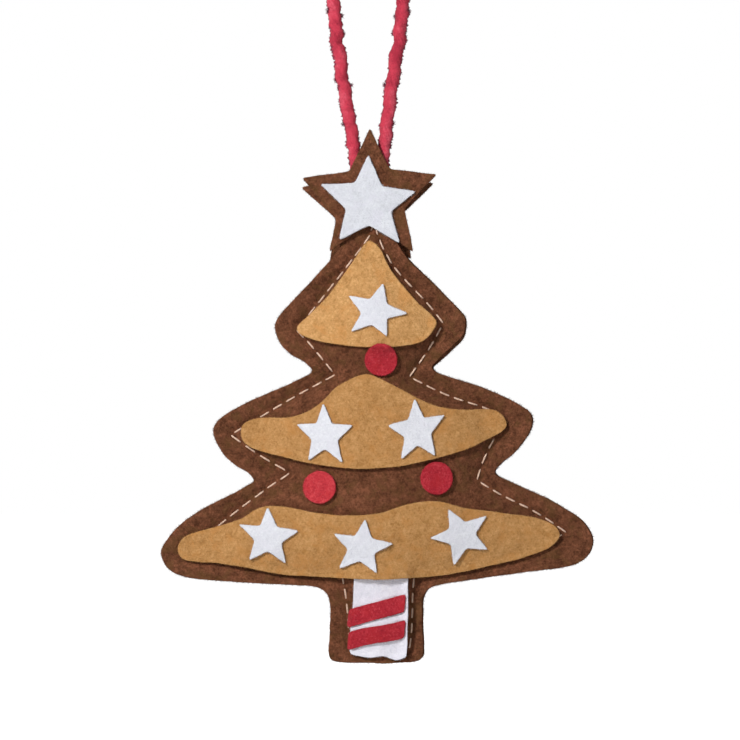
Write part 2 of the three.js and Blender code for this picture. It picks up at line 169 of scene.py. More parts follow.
def addFuzz(name, roots, look, length, width, lean):
    # Short curved fibres of three sides. Each root is a point on a surface with its outward normal.
    points, faces = [], []
    for spot, outward in roots:
        wander = Vector([dice.gauss(0, 1) for _ in range(3)])
        along = (wander - outward * wander.dot(outward)).normalized()
        reach = length * dice.uniform(fibre["shortest"], fibre["longest"])
        start = (outward * (1 - lean) + along * lean).normalized()
        lifted = outward * dice.uniform(fibre["bendLow"], fibre["bendHigh"])
        bend = (along * fibre["bendAlong"] + lifted).normalized()
        middle = spot + start * reach * 0.5
        tip = middle + (start + bend).normalized() * reach * 0.5
        side = start.cross(bend)
        side = side.normalized() if side.length > 1e-6 else outward.orthogonal().normalized()
        other = side.cross(start)
        first = len(points)
        for centre, radius in ((spot - outward * width, width / 2), (middle, width * fibre["middleWidth"])):
            for corner in range(3):
                angle = 2 * math.pi * corner / 3
                points.append(centre + (side * math.cos(angle) + other * math.sin(angle)) * radius)
        points.append(tip)
        for corner in range(3):
            nextCorner = (corner + 1) % 3
            faces.append((first + corner, first + nextCorner, first + 3 + nextCorner, first + 3 + corner))
            faces.append((first + 3 + corner, first + 3 + nextCorner, first + 6))
        faces.append((first + 2, first + 1, first))
    fuzz = newPiece(name, points, faces, look)
    shadeSoft(fuzz)
    return fuzz


def rootsOn(piece, count, isWanted):
    # Random places on the wanted faces of a piece, each as likely as its area
    faces = [face for face in piece.data.polygons if isWanted(face)]
    weights = [face.area for face in faces]
    roots = []
    for face in dice.choices(faces, weights, k=count):
        corners = [piece.data.vertices[index].co for index in face.vertices]
        share = [dice.random() + 0.01 for _ in corners]
        spot = sum((corner * part for corner, part in zip(corners, share)), Vector()) / sum(share)
        roots.append((spot, face.normal.copy()))
    return roots


def rootsRound(spot, outward, count, spread):
    # The roots of one tuft, scattered about a place
    return [(spot + Vector([dice.gauss(0, spread) for _ in range(3)]), outward) for _ in range(count)]


# Materials, whose sums are written as Python expressions

class Wire:
    def __init__(self, nodes, socket):
        self.nodes, self.socket = nodes, socket

    def math(self, operation, *terms):
        return self.nodes.node("ShaderNodeMath", dict(operation=operation), dict(enumerate(terms)))

    def __add__(self, other):
        return self.math("ADD", self, other)

    def __sub__(self, other):
        return self.math("SUBTRACT", self, other)

    def __rsub__(self, other):
        return self.math("SUBTRACT", other, self)

    def __mul__(self, other):
        return self.math("MULTIPLY", self, other)

    __radd__, __rmul__ = __add__, __mul__

    def ramp(self, low, high, start=0, end=1):
        return self.nodes.node("ShaderNodeMapRange", dict(interpolation_type="SMOOTHSTEP"),
                               {0: self, 1: low, 2: high, 3: start, 4: end})


class Nodes:
    def __init__(self, tree):
        self.tree = tree

    def node(self, kind, settings=None, values=None, out=0):
        made = self.tree.nodes.new(kind)
        for name, value in (settings or {}).items():
            setattr(made, name, value)
        for place, value in (values or {}).items():
            self.feed(made.inputs[place], value)
        return Wire(self, made.outputs[out])

    def feed(self, socket, value):
        if isinstance(value, Wire):
            self.tree.links.new(value.socket, socket)
        else:
            socket.default_value = value

    def plainRays(self):
        # The three kinds of ray to which the room is plain white
        rays = self.node("ShaderNodeLightPath").socket.node.outputs
        return [Wire(self, rays["Is " + kind + " Ray"]) for kind in ("Camera", "Glossy", "Transmission")]


class Look(Nodes):
    def __init__(self, name):
        self.material = bpy.data.materials.new(name)
        self.material.use_nodes = True
        super().__init__(self.material.node_tree)
        self.shader = self.tree.nodes["Principled BSDF"]
        self.setShader({"Specular IOR Level": 0.2})

    def setShader(self, values):
        for name, value in values.items():
            self.feed(self.shader.inputs[name], value)
        return self.material

    def place(self):
        return self.node("ShaderNodeTexCoord", out="Object")

    def noise(self, place, size, detail=2, roughness=0.5, distortion=0):
        return self.node("ShaderNodeTexNoise", {}, {"Vector": place, "Scale": 1 / size, "Detail": detail,
                                                    "Roughness": roughness, "Distortion": distortion})

    def stretched(self, place, turn, stretch):
        # The pattern is drawn out along its own turned axes
        return self.node("ShaderNodeMapping", dict(vector_type="TEXTURE"),
                         {"Vector": place, "Rotation": turn, "Scale": stretch})

    def mix(self, share, first, second):
        return self.node("ShaderNodeMix", dict(data_type="RGBA"), {0: share, 6: first, 7: second}, out=2)

    def bump(self, height, distance, strength):
        values = {"Strength": strength, "Distance": distance, "Height": height}
        return self.node("ShaderNodeBump", {}, values)


def paint(red, green, blue):
    # A colour given as it looks on the screen
    return tuple(((part / 255 + 0.055) / 1.055) ** 2.4 for part in (red, green, blue)) + (1,)


# The grain of felt: matted streaks, fine fibres, drifts of another hue and stray flecks
grain = dict(
    cloudDetail=4, streakSize=0.42 * mm, strayStreakSize=0.4 * mm, fineSize=0.22 * mm, fineRoughness=0.7,
    turns=3, stretch=3.5, distortion=0.8, streakRamp=(0.36, 0.64), strayRamp=(0.72, 0.9),
    matShare=0.55, fineShare=0.35, halfRange=0.28, halfRoughRange=0.3, dull=0.98, smooth=0.86,
    hueSize=3.4 * mm, hueDetail=3, hueDistortion=0.5, hueRamp=(0.48, 0.66, 0, 0.55), sheenRoughness=0.6,
    bumpMats=0.35, bumpFine=0.5, bumpClouds=0.6, bumpDistance=0.35 * mm, bump=0.8,
)


def matted(look, place, size, seed):
    # Streaks in several directions at once, as of short fibres pressed together
    count, total = grain["turns"], None
    for turn in range(count):
        angle = math.pi * (turn + 0.37 * seed) / count
        lying = look.stretched(place, (0.2 * seed, angle, 0.25 * turn), (1, 1, grain["stretch"]))
        streak = look.noise(lying, size, distortion=grain["distortion"]).ramp(*grain["streakRamp"])
        total = streak if total is None else total + streak
    return total * (1 / count)


def feltLook(name, dark, middle, light, drift, cloudSize, cloudShare, fleck, fleckShare, sheen, sheenTint):
    look = Look(name)
    place = look.place()
    clouds = look.noise(place, cloudSize, detail=grain["cloudDetail"], roughness=0.6)
    mats = matted(look, place, grain["streakSize"], 1)
    fine = look.noise(place, grain["fineSize"], detail=3, roughness=grain["fineRoughness"])
    tone = clouds * cloudShare + mats * grain["matShare"] + fine * grain["fineShare"]
    centre = (cloudShare + grain["matShare"] + grain["fineShare"]) / 2
    lowest, highest = centre - grain["halfRange"], centre + grain["halfRange"]
    shade = look.mix(tone.ramp(lowest, centre), paint(*dark), paint(*middle))
    shade = look.mix(tone.ramp(centre, highest), shade, paint(*light))
    hues = look.noise(place, grain["hueSize"], detail=grain["hueDetail"], roughness=0.6,
                      distortion=grain["hueDistortion"])
    shade = look.mix(hues.ramp(*grain["hueRamp"]), shade, paint(*drift))
    stray = matted(look, place, grain["strayStreakSize"], 5).ramp(*grain["strayRamp"], 0, fleckShare)
    shade = look.mix(stray, shade, paint(*fleck))
    height = mats * grain["bumpMats"] + fine * grain["bumpFine"] + clouds * grain["bumpClouds"]
    roughRange = grain["halfRoughRange"]
    return look.setShader({
        "Base Color": shade,
        "Roughness": tone.ramp(centre - roughRange, centre + roughRange, grain["dull"], grain["smooth"]),
        "Normal": look.bump(height, grain["bumpDistance"], grain["bump"]),
        "Sheen Weight": sheen, "Sheen Roughness": grain["sheenRoughness"], "Sheen Tint": paint(*sheenTint),
    })


tanGrain = dict(cloudSize=2.4 * mm, cloudShare=0.7, fleckShare=0.35, sheen=0.12, sheenTint=(230, 200, 150))
redGrain = dict(cloudSize=3 * mm, cloudShare=0.5, fleckShare=0.3, sheen=0.15, sheenTint=(240, 150, 150))
whiteGrain = dict(cloudSize=4 * mm, cloudShare=0.6, fleckShare=0.3, sheen=0.08, sheenTint=(255, 255, 255))
# The top tier's tan is paler than the lower tiers'. The trunk's patch and the left dot take paler copies of
# white and red felt, a painted light, and the big white star takes a duller copy of white felt, a painted
# shade
feltLooks = dict(
    brown=feltLook("brown_felt", (73, 40, 22), (99, 59, 38), (126, 76, 52), drift=(94, 64, 34),
                   fleck=(140, 92, 66), cloudSize=2.6 * mm, cloudShare=1, fleckShare=0.25, sheen=0.12,
                   sheenTint=(190, 130, 95)),
    tan=feltLook("tan_felt", (160, 114, 64), (181, 133, 80), (198, 150, 96), drift=(186, 129, 70),
                 fleck=(140, 96, 52), **tanGrain),
    paleTan=feltLook("pale_tan_felt", (174, 126, 73), (197, 148, 92), (214, 165, 109),
                     drift=(203, 143, 81), fleck=(152, 105, 58), **tanGrain),
    white=feltLook("white_felt", (212, 213, 221), (221, 222, 229), (230, 231, 237),
                   drift=(222, 221, 230), fleck=(238, 238, 242), **whiteGrain),
    whitePaintedLight=feltLook("white_felt_painted_light", (221, 220, 230), (231, 229, 239), (240, 238, 246),
                       drift=(228, 224, 236), fleck=(245, 245, 249), **whiteGrain),
    whitePaintedShade=feltLook("white_felt_painted_shade", (203, 205, 212), (213, 215, 222), (222, 224, 230),
                       drift=(214, 213, 224), fleck=(228, 229, 234),
                       **dict(whiteGrain, cloudSize=5 * mm, cloudShare=1)),
    red=feltLook("red_felt", (148, 26, 40), (168, 35, 48), (187, 52, 63), drift=(172, 34, 42),
                 fleck=(222, 92, 100), **redGrain),
    redPaintedLight=feltLook("red_felt_painted_light", (166, 40, 50), (187, 50, 59), (204, 68, 74), drift=(192, 50, 54),
                     fleck=(226, 104, 108), **redGrain),
)
print("felt looks ready")

# The camera looks straight at the front, from far enough for the flat look of the picture

view = dict(distance=0.9, frameWidth=167.24 * mm, across=0.226 * mm, height=-128.54 * mm, sensor=36,
            clipStart=0.01)
bpy.ops.object.camera_add(location=(view["across"], -view["distance"], view["height"]),
                          rotation=(math.pi / 2, 0, 0))
camera = bpy.context.object
camera.name = "camera"
camera.data.sensor_width = view["sensor"]
camera.data.lens = view["sensor"] * view["distance"] / view["frameWidth"]
camera.data.clip_start = view["clipStart"]
bpy.context.scene.camera = camera
print("camera set")

# The loop of yarn, from its glued end in the left of the star, over the peg and down to the right one

yarn = dict(
    width=2.9 * mm, length=0.2, step=0.35 * mm, sides=28,
    plies=3, plyDepth=0.03, plyRound=0.6, twistLength=16 * mm,
    wander=0.16 * mm, wanderSize=3 * mm, wanderInDepth=0.6, lumps=0.34 * mm, lumpSize=1.2 * mm,
    route=[(-3.57, -77.2), (-4.3, -72), (-5.15, -68.5), (-5.4, -65), (-6.3, -62), (-6.3, -58.5),
           (-7.3, -54.5), (-7.3, -51.5), (-7.85, -47.5), (-8.3, -42.5), (-8.75, -37.2), (-10.05, -27.2),
           (-11.35, -17.2), (-11.95, -11.5), (-11.4, -6.4), (-9.3, -2.2), (-5.3, 0.55), (0, 1.35),
           (5.3, 0.55), (9.3, -2.2), (11.4, -6.4), (11.95, -11.5), (11.35, -17.2),
           (10.05, -27.2), (8.6, -37.2), (7.75, -42.5), (7.45, -48), (6.95, -51.7), (6.9, -54.5),
           (5.9, -58.5), (5.65, -62), (4.8, -65.2), (4.7, -68.5), (4, -72), (3.57, -77.2)],
    gluedEnd=(1.5, -92.5),
    exit=(-3.57 * mm, 0, -77.2 * mm),
    bendFrom=(0, 0, -74.9 * mm), bendTo=(0, 0, -79.5 * mm),
    fuzz=15000, fuzzHair=dict(length=0.8 * mm, width=0.08 * mm, lean=0.5),
    nubs=480, nubFibres=20, nubSpread=0.12 * mm, nubHair=dict(length=0.5 * mm, width=0.112 * mm, lean=0.3),
    tuftFibres=60, tuftSpread=0.24 * mm, tuftRoot=0.42,
    tuftHair=dict(length=0.55 * mm, width=0.128 * mm, lean=0.35),
    tufts=[(-5.1, -48.4), (-5.2, -52.5), (-9.4, -47.4), (-8, -63), (-5.8, -72.8), (-3.5, -64.1),
           (4.7, -48.4), (4.7, -52.6), (9.3, -47.4), (3.4, -64.1), (5.5, -72.8)],
)
wool = dict(
    dark=paint(166, 42, 62), middle=paint(200, 60, 80), light=paint(218, 88, 106),
    darkRamp=(0.6, 0.84), lightRamp=(0.84, 1.08),
    strandSize=0.5 * mm, drawnOut=0.12, cloudSize=3.5 * mm, fineSize=0.25 * mm,
    strandShare=0.35, cloudShare=0.9, fineShare=0.4, paintedShadeInside=0.08,
    bumpStrands=0.4, bumpDistance=0.3 * mm, bump=0.8, roughness=0.95,
    sheen=0.35, sheenRoughness=0.5, sheenTint=paint(250, 150, 165),
    hairToneSize=1.5 * mm, hairRamp=(0.4, 0.6),
)


def hairLook(name, root, tip):
    look = Look(name)
    tone = look.noise(look.place(), wool["hairToneSize"])
    shade = look.mix(tone.ramp(*wool["hairRamp"]), root, tip)
    return look.setShader({"Base Color": shade, "Roughness": wool["roughness"]})


def yarnLook():
    # The pattern follows the twist, so it reads the angle and the distance kept in the tube's map
    look = Look("red_yarn")
    spots = look.node("ShaderNodeSeparateXYZ", {}, {0: look.node("ShaderNodeUVMap", dict(uv_map="twist"))})
    turnBy = 2 * math.pi / yarn["twistLength"]
    around = Wire(look, spots.socket.node.outputs[0]) * (2 * math.pi)
    along = Wire(look, spots.socket.node.outputs[1])
    lay = around - along * turnBy
    radius = yarn["width"] / 2
    place = look.node("ShaderNodeCombineXYZ", {}, {
        0: lay.math("COSINE", lay) * radius, 1: lay.math("SINE", lay) * radius,
        2: along * wool["drawnOut"]})
    strands = look.noise(place, wool["strandSize"], detail=3, roughness=0.6)
    clouds = look.noise(look.place(), wool["cloudSize"], detail=3)
    fine = look.noise(look.place(), wool["fineSize"])
    # Painted shade and light: the wool is darker inside the loop, where the map's angle is half a turn, and
    # lighter outside it
    tone = (strands * wool["strandShare"] + clouds * wool["cloudShare"] + fine * wool["fineShare"]
            + around.math("COSINE", around) * wool["paintedShadeInside"])
    shade = look.mix(tone.ramp(*wool["darkRamp"]), wool["dark"], wool["middle"])
    shade = look.mix(tone.ramp(*wool["lightRamp"]), shade, wool["light"])
    height = strands * wool["bumpStrands"] + fine
    return look.setShader({
        "Base Color": shade, "Normal": look.bump(height, wool["bumpDistance"], wool["bump"]),
        "Roughness": wool["roughness"], "Sheen Weight": wool["sheen"],
        "Sheen Roughness": wool["sheenRoughness"], "Sheen Tint": wool["sheenTint"],
    })


def yarnRadius(along, angle):
    turn = angle - 2 * math.pi * along / yarn["twistLength"]
    ply = abs(math.cos(turn * yarn["plies"] / 2)) ** yarn["plyRound"]
    lump = grainAt((math.cos(angle) * 0.8, math.sin(angle) * 0.8, along / yarn["lumpSize"]), 1)
    return yarn["width"] / 2 * (1 - yarn["plyDepth"] * (1 - ply)) + yarn["lumps"] * lump


def mapTwist(piece, coords):
    # Keeps each corner's angle, in turns, and its distance along the yarn
    twist = piece.data.uv_layers.new(name="twist")
    for face in piece.data.polygons:
        angles = [coords[piece.data.loops[loop].vertex_index][0] for loop in face.loop_indices]
        wraps = len(angles) == 4 and max(angles) - min(angles) > math.pi
        for loop, angle in zip(face.loop_indices, angles):
            angle += 2 * math.pi if wraps and angle < math.pi else 0
            twist.data[loop].uv = (angle / (2 * math.pi), coords[piece.data.loops[loop].vertex_index][1])


def isTubeSide(face):
    return len(face.vertices) == 4


def facesIn(face):
    # At the strand's two sides, whether the face looks into the loop (above 0) or out of it
    return -face.normal.x * face.center.x if isTubeSide(face) and abs(face.normal.y) < 0.5 else 0


def makeYarn():
    endAcross, endHeight = yarn["gluedEnd"]
    places = [(-endAcross, endHeight)] + yarn["route"] + [(endAcross, endHeight)]
    line = curveThrough([Vector((x, 0, z)) * mm for x, z in places], yarn["step"])
    wavy, along = [], 0
    for index, point in enumerate(line):
        along += (point - line[max(index - 1, 0)]).length
        sway = [grainAt((along, 0, 0), yarn["wanderSize"], seed) for seed in (1, 2)]
        wavy.append(point + Vector((sway[0], yarn["wanderInDepth"] * sway[1], 0)) * yarn["wander"])
    piece, coords = tube("yarn_loop", wavy, yarnRadius, yarn["sides"], yarnLook())
    mapTwist(piece, coords)
    shadeSoft(piece)
    fuzz = addFuzz("yarn_fuzz", rootsOn(piece, yarn["fuzz"], isTubeSide),
                   hairLook("yarn_hair", paint(140, 44, 62), paint(196, 66, 86)), **yarn["fuzzHair"])
    roots = []
    for x, z in yarn["tufts"]:
        tip = Vector((x, 0, z)) * mm
        middle = min(wavy, key=lambda point: (point - tip).length)
        outward = (tip - middle).normalized()
        root = middle + outward * yarn["width"] * yarn["tuftRoot"]
        roots += rootsRound(root, outward, yarn["tuftFibres"], yarn["tuftSpread"])
    tufts = addFuzz("yarn_tufts", roots, hairLook("yarn_tuft", paint(116, 60, 76), paint(150, 84, 100)),
                    **yarn["tuftHair"])
    # The nubs sit at the two sides, most of them inside the loop
    places = rootsOn(piece, yarn["nubs"], lambda face: facesIn(face) > 0)
    places += rootsOn(piece, yarn["nubs"] // 3, lambda face: facesIn(face) < 0)
    roots = []
    for spot, outward in places:
        roots += rootsRound(spot, outward, yarn["nubFibres"], yarn["nubSpread"])
    nubs = addFuzz("yarn_nubs", roots, hairLook("yarn_nub", paint(128, 50, 70), paint(158, 70, 90)),
                   **yarn["nubHair"])
    for part in (piece, fuzz, tufts, nubs):
        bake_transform(part)
    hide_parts("hanging_loop", "loop_end_left", "loop_end_right")


makeYarn()
print("yarn made")

# Felt. A flat pattern is cut to a node's outline, laid over what is under it and given its thickness.

felt = dict(
    sharpTurn=50, starTurn=25, tipTurn=90, tipSpare=0.4 * mm, blunting=2, ownShare=0.6, besideShare=0.2,
    wobble=0.1 * mm, wobbleSize=5 * mm, fineWobbleSize=1.4 * mm,
    mergeWithin=0.002 * mm, closest=0.02 * mm, wallTilt=0.05, rimRoom=0.6,
    layGap=0.08 * mm, liftWay=Vector((0.45, -0.89)), patchLiftWay=Vector((0.95, -0.3)),
    leastCurl=0.35, curlVaries=0.6, curlSize=9 * mm, softSteps=2, softAngle=math.radians(60),
    fuzzWidth=0.05 * mm, fuzzLean=0.45, fuzzReach=1.5 * mm, fuzzTilt=0.6,
)


def cutLine(node):
    # The closed line between a flat node's front face and its cut edge, as (x, z) points
    shell = bmesh.new()
    shell.from_mesh(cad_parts[node].data)
    bmesh.ops.remove_doubles(shell, verts=shell.verts, dist=felt["mergeWithin"])
    beside = {}
    for edge in shell.edges:
        isWall = [abs(face.normal.y) < felt["wallTilt"] for face in edge.link_faces]
        isFront = [face.normal.y < -felt["wallTilt"] for face in edge.link_faces]
        if any(isWall) and any(isFront):
            first, second = edge.verts
            beside.setdefault(first, []).append(second)
            beside.setdefault(second, []).append(first)
    start = next(iter(beside))
    chain, seen = [start], {start}
    while True:
        onward = [vert for vert in beside[chain[-1]] if vert not in seen]
        if not onward:
            break
        chain.append(onward[0])
        seen.add(onward[0])
    points = [Vector((vert.co.x, vert.co.z)) for vert in chain]
    shell.free()
    if areaOf(points) < 0:
        points.reverse()
    return straightened(points)


def areaOf(points):
    return 0.5 * sum(a.x * b.y - b.x * a.y for a, b in zip(points, points[1:] + points[:1]))


def turnAt(points, index):
    before = points[index] - points[index - 1]
    after = points[(index + 1) % len(points)] - points[index]
    return math.degrees(before.angle_signed(after, 0))


def straightened(points):
    # Drops the points that lie on a straight stretch
    points = [point for index, point in enumerate(points)
              if (point - points[index - 1]).length > felt["closest"]]
    return [point for index, point in enumerate(points) if abs(turnAt(points, index)) > 1]


def scissorLine(corners, step, sharpTurn=felt["sharpTurn"]):
    # The cut through the corners: smooth, with the scissors' small wander and slightly blunt tips
    isSharp = [abs(turnAt(corners, index)) > sharpTurn for index in range(len(corners))]
    spared = []
    for index, corner in enumerate(corners):
        middle = (corners[index - 1] + corners[(index + 1) % len(corners)]) / 2
        isTip = turnAt(corners, index) < -felt["tipTurn"]
        spared.append(corner + (corner - middle).normalized() * felt["tipSpare"] if isTip else corner)
    line = curveThrough(spared, step, closed=True, isSharp=isSharp)
    for _ in range(felt["blunting"]):
        line = [point * felt["ownShare"]
                + (line[index - 1] + line[(index + 1) % len(line)]) * felt["besideShare"]
                for index, point in enumerate(line)]
    cut = []
    for index, point in enumerate(line):
        before, after = line[index - 1], line[(index + 1) % len(line)]
        along = (after - before).normalized()
        outward = Vector((along.y, -along.x))
        place = (point.x, 0, point.y)
        sway = grainAt(place, felt["wobbleSize"]) + 0.5 * grainAt(place, felt["fineWobbleSize"])
        cut.append(point + outward * (felt["wobble"] * sway))
    return cut


# Places where the scissors strayed: (x, z), how far that reaches, and the way the edge moves, in mm
bothPanels = [
    ((-26, -153.4), 5, (0.4, 0.5)), ((-13.8, -128.2), 5, (0.55, 0.2)), ((-47.2, -169.7), 11, (0.35, 0)),
    ((48.8, -170.6), 10, (0.25, -0.25)), ((-5.4, -194.8), 9, (0, 0.3)), ((28.8, -151.6), 5, (-0.3, 0)),
]
snips = dict(
    front_panel=bothPanels, back_panel=bothPanels + [((18, -123.6), 7, (0.35, -0.35))],
    star_front=[((10.8, -90), 6, (-0.26, 0.24))], trunk_patch=[((-3.8, -178), 8, (0.3, 0))],
    stripe_lower=[((8, -186.8), 8, (0, -0.4)), ((-4, -189.8), 8, (0, 0.3))],
)


def snipped(node, outline):
    for place, reach, move in snips.get(node, ()):
        middle = Vector(place) * mm
        outline = [point + Vector(move) * mm * eased(1.4 - 1.4 * (point - middle).length / (reach * mm))
                   for point in outline]
    return outline


def treeOf(points):
    tree = kdtree.KDTree(len(points))
    for index, point in enumerate(points):
        tree.insert((point.x, point.y, 0), index)
    tree.balance()
    return tree


def spansAt(outline, height):
    # The stretches of x inside the outline at one height
    crossings = []
    for a, b in zip(outline, outline[1:] + outline[:1]):
        if (a.y > height) != (b.y > height):
            crossings.append(a.x + (b.x - a.x) * (height - a.y) / (b.y - a.y))
    crossings.sort()
    return zip(crossings[::2], crossings[1::2])


def flatPattern(name, outline, step, look, side=front):
    # An even net of triangles inside the outline, lying in the seam's plane
    rim = treeOf(outline)
    spots = list(outline)
    rowStep = step * math.sqrt(3) / 2
    low, high = min(point.y for point in outline), max(point.y for point in outline)
    row = 0
    while low + row * rowStep < high:
        height = low + row * rowStep
        for left, right in spansAt(outline, height):
            shift = step / 2 if row % 2 else 0
            column = math.ceil((left - shift) / step)
            while column * step + shift < right:
                x = column * step + shift
                if rim.find((x, height, 0))[2] > felt["rimRoom"] * step:
                    spots.append(Vector((x, height)))
                column += 1
        row += 1
    net = geometry.delaunay_2d_cdt(spots, [], [list(range(len(outline)))], 1, 1e-8)
    points = [(spot.x, 0, spot.y) for spot in net[0]]
    faces = [face if side == front else face[::-1] for face in net[2]]
    piece = newPiece(name, points, faces, look)
    bm = bmesh.new()
    bm.from_mesh(piece.data)
    bmesh.ops.delete(bm, geom=[vert for vert in bm.verts if not vert.link_faces], context="VERTS")
    bm.to_mesh(piece.data)
    bm.free()
    return piece


def neighbours(mesh):
    beside = [[] for _ in mesh.vertices]
    for edge in mesh.edges:
        first, second = edge.vertices
        beside[first].append(second)
        beside[second].append(first)
    return beside


def surfaceOf(piece):
    mesh = piece.data
    return BVHTree.FromPolygons([vert.co for vert in mesh.vertices],
                                [face.vertices for face in mesh.polygons])


def heightOver(x, z, surfaces, side, lowest):
    # How far the surfaces stand out from the seam's plane at one place
    best = lowest
    for surface in surfaces:
        hit = surface.ray_cast(Vector((x, side * 50 * mm, z)), Vector((0, -side, 0)))[0]
        if hit:
            best = max(best, side * hit.y)
    return best


def seenAs(x, z, y):
    # The place at depth y that the camera sees where it would see (x, 0, z)
    nearer = 1 + y / view["distance"]
    return Vector((view["across"] + (x - view["across"]) * nearer, y,
                   view["height"] + (z - view["height"]) * nearer))


def drape(piece, outline, surfaces, side, lowest, rounds, lift, liftReach, liftWay):
    # The felt lies on what is under it and bridges what is narrow. Its free edge curls up a little.
    mesh, raw = piece.data, []
    for vert in mesh.vertices:
        height = heightOver(vert.co.x, vert.co.z, surfaces, side, lowest)
        place = seenAs(vert.co.x, vert.co.z, side * height)
        raw.append(heightOver(place.x, place.z, surfaces, side, lowest))
    beside = neighbours(mesh)
    level = list(raw)
    for _ in range(rounds):
        level = [max(raw[index], sum(level[other] for other in beside[index]) / len(beside[index]))
                 for index in range(len(raw))]
    edge = treeOf(outline)
    for vert, height in zip(mesh.vertices, level):
        _, index, away = edge.find((vert.co.x, vert.co.z, 0))
        along = outline[(index + 2) % len(outline)] - outline[index - 2]
        outward = Vector((along.y, -along.x)).normalized()
        facing = felt["leastCurl"] + (1 - felt["leastCurl"]) * max(0, outward.dot(liftWay))
        curl = lift * facing * max(0, 1 - away / liftReach) ** 2
        place = (vert.co.x, side * 10 * mm, vert.co.z)
        curl *= 1 + felt["curlVaries"] * grainAt(place, felt["curlSize"])
        vert.co = seenAs(vert.co.x, vert.co.z, side * (height + felt["layGap"] + curl))
    mesh.update()


def thicken(piece, thickness, softEdge, side):
    # The felt gets its thickness towards its side, and its cut edge is softened
    editAll(piece)
    bpy.ops.mesh.extrude_region_move(TRANSFORM_OT_translate={"value": (0, side * thickness, 0)})
    bpy.ops.mesh.select_all(action="SELECT")
    bpy.ops.mesh.normals_make_consistent(inside=False)
    bpy.ops.object.mode_set(mode="OBJECT")
    finishWith(piece, "BEVEL", width=softEdge, segments=felt["softSteps"], limit_method="ANGLE",
               angle_limit=felt["softAngle"], use_clamp_overlap=True)


def roughen(piece, amount, size):
    # The felt's own unevenness, in and out along the normals
    moves = []
    for vert in piece.data.vertices:
        lump = grainAt(vert.co, size, 3) + 0.6 * grainAt(vert.co, size / 2.3, 4)
        moves.append(vert.normal * lump * amount)
    for vert, move in zip(piece.data.vertices, moves):
        vert.co += move
    piece.data.update()


def feltFuzz(piece, outline, look, count, length):
    # Fibres that stand off the cut edge
    edge = treeOf(outline)

    def isEdge(face):
        near = edge.find((face.center.x, face.center.z, 0))[2] < felt["fuzzReach"]
        return abs(face.normal.y) < felt["fuzzTilt"] and near

    roots = rootsOn(piece, count, isEdge)
    fuzz = addFuzz(piece.name + "_fuzz", roots, look, length, felt["fuzzWidth"], felt["fuzzLean"])
    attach(fuzz, "ornament")
    return fuzz


# The body: two panels sewn together inside their edge, with fibre between them

body = dict(
    step=1.1 * mm, thickness=1.5 * mm, softEdge=0.45 * mm, rough=0.05 * mm, roughSize=2.2 * mm,
    roundness=0.7, fuzz=2600, fuzzLength=0.42 * mm,
    frontCrown=5 * mm, backCrown=4.5 * mm, seamGap=0.05 * mm, evenRounds=4, steepness=0.7,
    stitch=3.55 * mm, cornerTurn=25, holeStep=0.1 * mm, seamStep=0.3 * mm, leastFacing=0.2,
    grooveReach=1.7 * mm, grooveDepth=0.5 * mm, dimpleReach=1.1 * mm, dimpleDepth=0.1 * mm,
    splay=0.8 * mm, splayReach=5.5 * mm, peakTop=-97 * mm, peakReach=12 * mm,
)
# The cloth is blown up at ten times its size, so that the solver's steps suit it
cloth = dict(
    scale=10, frames=20,
    settings=dict(vertex_group_mass="sewn", quality=5, mass=0.02, tension_stiffness=4,
                  compression_stiffness=4, shear_stiffness=4, bending_stiffness=0.05, shrink_min=-0.03,
                  use_pressure=True, uniform_pressure_force=6),
)
seam = [Vector(place) * mm for place in (
    (1.2, -94.8), (0.3, -98), (-4.8, -105), (-13.4, -115.9), (-16.3, -119.5), (-13.7, -122.2),
    (-7.6, -129.6), (-18, -135.3), (-31.2, -143.2), (-25.1, -147.5), (-17.9, -151.8), (-25.1, -156.8),
    (-33.2, -163.1), (-40, -169.3), (-33.2, -171.5), (-26.9, -172.5), (-17.9, -173.7), (-6.1, -174.5),
    (-5.5, -177.8), (-4.7, -184.2), (-4.4, -191.1), (9.1, -191.4), (9.5, -188.6), (9.8, -180.1),
    (10.1, -174.4), (24, -172.1), (35, -169.6), (41.5, -166.9), (44.5, -165.2), (42.5, -163.8),
    (36.7, -160.1), (30.3, -157), (24.3, -153.4), (25.9, -148.5), (27.7, -144.9), (30.5, -139.8),
    (26.9, -137.4), (17.3, -134.1), (9.1, -130.1), (13.3, -124.1), (16.8, -118), (12.9, -113.2),
    (5.5, -105.2), (2.1, -98.4))]


def isWithin(outline, x, z):
    return any(left < x < right for left, right in spansAt(outline, z))


def blowUp(piece, held):
    # Pressure pushes the sheet out where it isn't held
    group = piece.vertex_groups.new(name="sewn")
    group.add(held, 1, "REPLACE")
    piece.data.transform(Matrix.Scale(cloth["scale"], 4))
    pickOnly(piece)
    stuffed = piece.modifiers.new("stuffed", "CLOTH")
    for name, value in cloth["settings"].items():
        setattr(stuffed.settings, name, value)
    stuffed.settings.effector_weights.gravity = 0
    stuffed.collision_settings.use_collision = False
    stuffed.point_cache.frame_start = 1
    stuffed.point_cache.frame_end = cloth["frames"]
    for number in range(1, cloth["frames"] + 1):
        bpy.context.scene.frame_set(number)
    bpy.ops.object.modifier_apply(modifier=stuffed.name)
    bpy.context.scene.frame_set(1)
    piece.data.transform(Matrix.Scale(1 / cloth["scale"], 4))
    piece.vertex_groups.clear()


